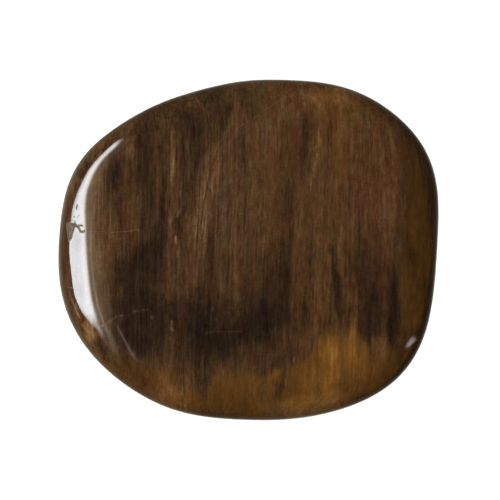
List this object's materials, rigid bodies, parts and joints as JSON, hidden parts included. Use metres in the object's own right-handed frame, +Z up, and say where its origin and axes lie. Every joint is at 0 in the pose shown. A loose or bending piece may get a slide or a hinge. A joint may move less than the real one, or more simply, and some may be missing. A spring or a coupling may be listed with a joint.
{
  "type": "petrified wood slice",
  "caption": "Palm-sized polished slice of petrified wood, cut along the grain, with an uneven oval outline, a rounded rim and a flat resting face.",
  "frame": {"origin": "middle of the footprint box, on the flat resting face", "axes": "+X across the wood grain along the longest side, +Y along the grain, +Z up through the thickness to the polished show face"},
  "size_m": [0.08, 0.0717, 0.014],
  "materials": {
    "petrified_wood": "polished"
  },
  "bodies": {
    "root": {"petrified_wood_slice": "petrified_wood"}
  },
  "joints": []
}
